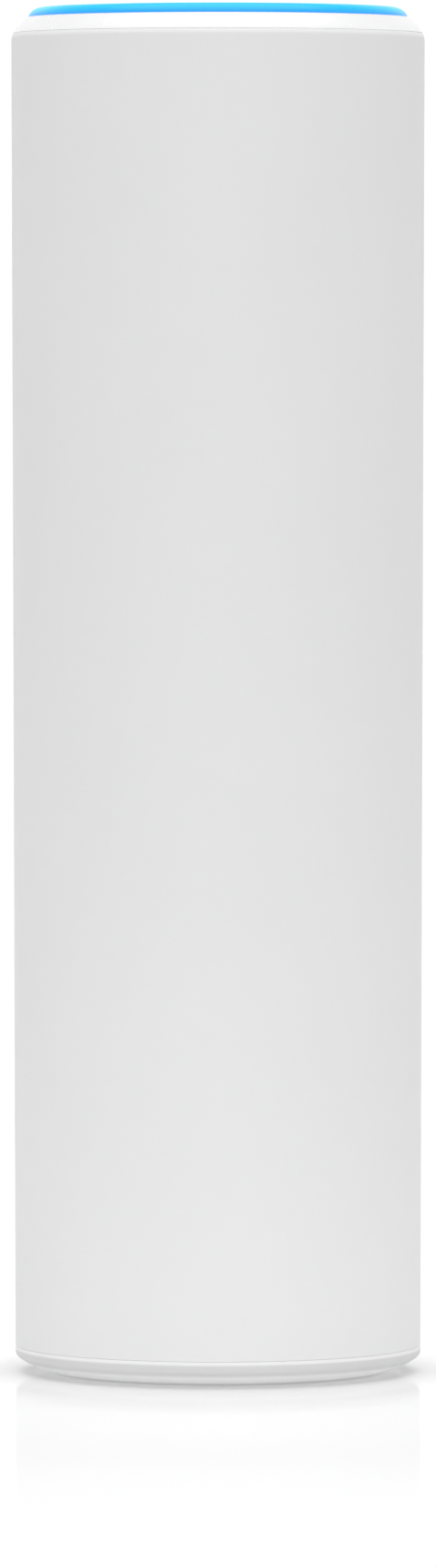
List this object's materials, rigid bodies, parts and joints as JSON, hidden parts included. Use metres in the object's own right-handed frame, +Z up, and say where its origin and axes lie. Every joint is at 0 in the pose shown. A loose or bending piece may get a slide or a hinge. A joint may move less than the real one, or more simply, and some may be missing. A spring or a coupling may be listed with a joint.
{
  "type": "mesh wifi node",
  "caption": "Slim upright cylindrical mesh wifi node with a glowing ring at the top, on a pull-off round base that hides a downward Ethernet socket.",
  "frame": {"origin": "centre of the round foot's underside, on the surface that it stands on", "axes": "+Z up along the cylinder's axis; the front faces -Y, and the cable notch is at the back, at +Y"},
  "size_m": [0.0484, 0.0484, 0.16],
  "materials": {
    "shell_white": "fine matte moulded polycarbonate, faintly cool white",
    "crown_white": "smooth satin-gloss moulded plastic, brighter than the sleeve",
    "light_blue": "milky diffusing plastic, lit blue from below",
    "clear_guide": "clear moulded plastic light guide",
    "reflector_white": "matte white reflector plastic",
    "frame_grey": "matte grey structural plastic",
    "button_grey": "matte grey plastic",
    "foot_rubber": "matte grey elastomer",
    "seal_rubber": "matte black O-ring rubber",
    "circuit_board": "green solder mask on glass-fibre laminate",
    "chip_black": "black moulded epoxy and ferrite",
    "can_alloy": "bright drawn aluminium",
    "heatsink_alloy": "extruded aluminium, satin",
    "tinned_steel": "tin-plated pressed steel",
    "plated_screw": "nickel-plated steel",
    "thermal_pad": "soft blue silicone gap filler",
    "lead_black": "black insulation",
    "led_cream": "cream moulded lamp package"
  },
  "bodies": {
    "housing": {"antenna_1": "circuit_board", "antenna_2": "circuit_board", "antenna_3": "circuit_board", "antenna_4": "circuit_board", "antenna_lead_1": "lead_black", "antenna_lead_2": "lead_black", "antenna_lead_3": "lead_black", "antenna_lead_4": "lead_black", "bulk_capacitor_1": "can_alloy", "bulk_capacitor_2": "can_alloy", "bulkhead": "frame_grey", "bulkhead_screw_1": "plated_screw", "bulkhead_screw_2": "plated_screw", "bulkhead_screw_3": "plated_screw", "bulkhead_seal": "seal_rubber", "cpu_chip": "chip_black", "cpu_thermal_pad": "thermal_pad", "crown": "crown_white", "crown_seal": "seal_rubber", "ethernet_jack": "tinned_steel", "frame_screw_1": "plated_screw", "frame_screw_2": "plated_screw", "heatsink": "heatsink_alloy", "heatsink_screw_1": "plated_screw", "heatsink_screw_2": "plated_screw", "heatsink_screw_3": "plated_screw", "heatsink_screw_4": "plated_screw", "inner_frame": "frame_grey", "jack_contacts": "chip_black", "lan_transformer": "chip_black", "led_1": "led_cream", "led_2": "led_cream", "led_3": "led_cream", "led_4": "led_cream", "led_5": "led_cream", "led_6": "led_cream", "led_7": "led_cream", "led_8": "led_cream", "led_baffle": "reflector_white", "led_board": "circuit_board", "led_board_screw_1": "plated_screw", "led_board_screw_2": "plated_screw", "led_ribbon": "lead_black", "light_guide": "clear_guide", "light_ring": "light_blue", "main_board": "circuit_board", "memory_chip": "chip_black", "poe_transformer": "chip_black", "power_inductor": "chip_black", "radio_shield_high": "tinned_steel", "radio_shield_low": "tinned_steel", "radio_thermal_pad": "thermal_pad", "reset_switch": "chip_black", "sleeve": "shell_white", "top_disc": "crown_white"},
    "base": {"base_cap": "shell_white", "base_grip_ring": "seal_rubber", "foot_pad": "foot_rubber"},
    "reset": {"reset_button": "button_grey", "reset_stem": "button_grey"}
  },
  "joints": [
    {"name": "base_release", "type": "slide", "parent": "base", "child": "housing", "axis": [0, 0, 1], "range_m": [0, 0.013]},
    {"name": "reset_press", "type": "slide", "parent": "housing", "child": "reset", "axis": [0, 0, 1], "range_m": [0, 0.0006], "stiffness_N_per_m": 1200}
  ]
}
